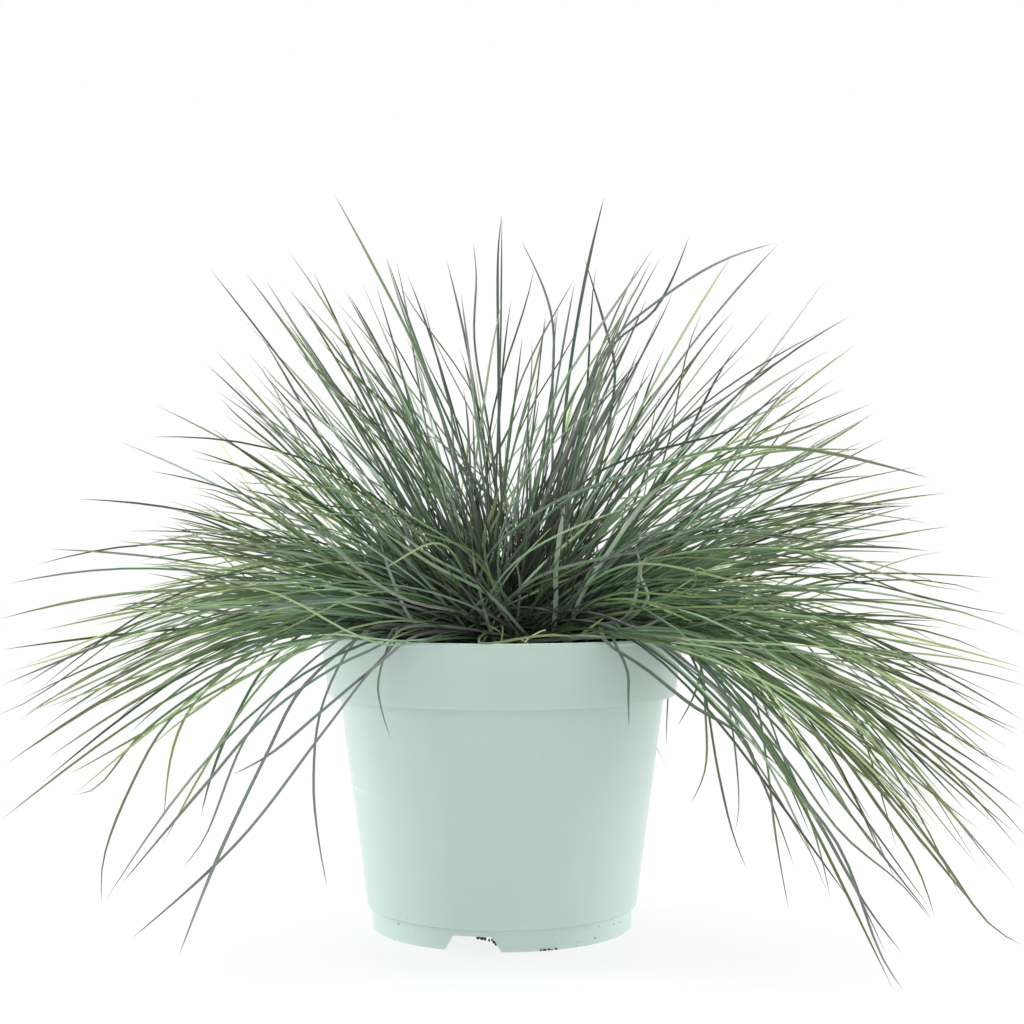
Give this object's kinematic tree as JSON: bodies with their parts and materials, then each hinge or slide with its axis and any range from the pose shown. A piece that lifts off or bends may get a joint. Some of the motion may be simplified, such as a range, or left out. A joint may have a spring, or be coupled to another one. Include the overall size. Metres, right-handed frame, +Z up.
{
  "type": "potted blue fescue clump",
  "caption": "Tufted ornamental grass with fine blue-green needle leaves arching from a low crown in a tapered, collared plastic grower's pot.",
  "frame": {"origin": "centre of the pot's footprint, on the surface that it stands on, which is also the middle of the clump's extent", "axes": "+Z up along the pot's axis; -Y towards the front, where the leaves part and leave the pot's side clear; +X to the right, along the clump's longest extent"},
  "size_m": [0.5683, 0.476, 0.3772],
  "materials": {
    "pot_plastic": "injection-moulded pale mint plastic, slightly translucent at the edges, soft sheen",
    "potting_soil": "moist dark peat and bark crumbs, fully matte",
    "crown_sheath": "dry straw and brown leaf sheaths, matte",
    "leaf_blade": "blue-green to yellow-green folded needle leaves with a thin waxy bloom, paler and greyer at the tips"
  },
  "bodies": {
    "root": {"crown": "crown_sheath", "pot": "pot_plastic", "potting_soil": "potting_soil", "tuft_heart_01": "leaf_blade", "tuft_heart_02": "leaf_blade", "tuft_heart_03": "leaf_blade", "tuft_heart_04": "leaf_blade", "tuft_heart_05": "leaf_blade", "tuft_inner_01": "leaf_blade", "tuft_inner_02": "leaf_blade", "tuft_inner_03": "leaf_blade", "tuft_inner_04": "leaf_blade", "tuft_inner_05": "leaf_blade", "tuft_inner_06": "leaf_blade", "tuft_inner_07": "leaf_blade", "tuft_inner_08": "leaf_blade", "tuft_inner_09": "leaf_blade", "tuft_middle_01": "leaf_blade", "tuft_middle_02": "leaf_blade", "tuft_middle_03": "leaf_blade", "tuft_middle_04": "leaf_blade", "tuft_middle_05": "leaf_blade", "tuft_middle_06": "leaf_blade", "tuft_middle_07": "leaf_blade", "tuft_middle_08": "leaf_blade", "tuft_middle_09": "leaf_blade", "tuft_middle_10": "leaf_blade", "tuft_middle_11": "leaf_blade", "tuft_middle_12": "leaf_blade", "tuft_outer_01": "leaf_blade", "tuft_outer_02": "leaf_blade", "tuft_outer_03": "leaf_blade", "tuft_outer_04": "leaf_blade", "tuft_outer_05": "leaf_blade", "tuft_outer_06": "leaf_blade", "tuft_outer_07": "leaf_blade", "tuft_outer_08": "leaf_blade", "tuft_outer_09": "leaf_blade", "tuft_outer_10": "leaf_blade", "tuft_outer_11": "leaf_blade", "tuft_outer_12": "leaf_blade", "tuft_outer_13": "leaf_blade", "tuft_outer_14": "leaf_blade", "tuft_skirt_01": "leaf_blade", "tuft_skirt_02": "leaf_blade", "tuft_skirt_03": "leaf_blade", "tuft_skirt_04": "leaf_blade", "tuft_skirt_05": "leaf_blade", "tuft_skirt_06": "leaf_blade", "tuft_skirt_07": "leaf_blade", "tuft_skirt_08": "leaf_blade", "tuft_skirt_09": "leaf_blade", "tuft_skirt_10": "leaf_blade", "tuft_skirt_11": "leaf_blade", "tuft_skirt_12": "leaf_blade", "tuft_skirt_13": "leaf_blade", "tuft_skirt_14": "leaf_blade"}
  },
  "joints": []
}
